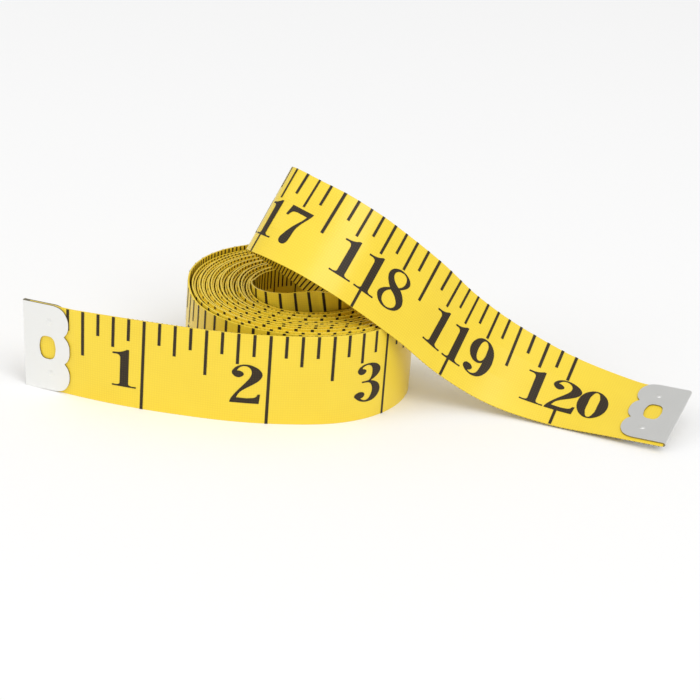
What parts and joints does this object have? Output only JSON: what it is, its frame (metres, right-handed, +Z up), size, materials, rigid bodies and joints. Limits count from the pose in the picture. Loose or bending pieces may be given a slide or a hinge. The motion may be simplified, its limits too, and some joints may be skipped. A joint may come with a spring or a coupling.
{
  "type": "cloth tape measure",
  "caption": "Flat yellow sewing tape measure wound in a loose coil on its edge, both printed ends free and capped with folded metal tips.",
  "frame": {"origin": "middle of the part's footprint box, on the surface that it stands on", "axes": "+X along the longest side towards the tip at the high end of the scale, +Y away from the viewer, +Z up"},
  "size_m": [0.1368, 0.048, 0.046],
  "materials": {
    "tape": "smooth vinyl coating over woven fibreglass, satin",
    "tip": "satin zinc plating"
  },
  "bodies": {
    "roll": {"tape_coil": "tape", "tape_end_loop": "tape"},
    "start_inner": {"tape_start_inner": "tape"},
    "start_outer": {"tape_start_outer": "tape", "start_tip": "tip"},
    "end_inner": {"tape_end_inner": "tape"},
    "end_outer": {"tape_end_outer": "tape", "end_tip": "tip"}
  },
  "joints": [
    {"name": "start_bend_inner", "type": "hinge", "parent": "roll", "child": "start_inner", "pos_m": [-0.00837, -0.02221, 0.00953], "axis": [0, 0, 1], "range_deg": [-5, 60], "stiffness_Nm_per_rad": 0.002},
    {"name": "start_bend_outer", "type": "hinge", "parent": "start_inner", "child": "start_outer", "pos_m": [-0.03697, -0.02256, 0.00953], "axis": [0, 0, 1], "range_deg": [-25, 45], "stiffness_Nm_per_rad": 0.002},
    {"name": "end_bend_inner", "type": "hinge", "parent": "roll", "child": "end_inner", "pos_m": [-0.00442, -0.01343, 0.03446], "axis": [-0.4205, -0.5508, -0.7209], "range_deg": [0, 40], "stiffness_Nm_per_rad": 0.002},
    {"name": "end_bend_outer", "type": "hinge", "parent": "end_inner", "child": "end_outer", "pos_m": [0.02586, -0.00488, 0.01034], "axis": [-0.3479, -0.6918, -0.6328], "range_deg": [0, 50], "stiffness_Nm_per_rad": 0.002}
  ]
}
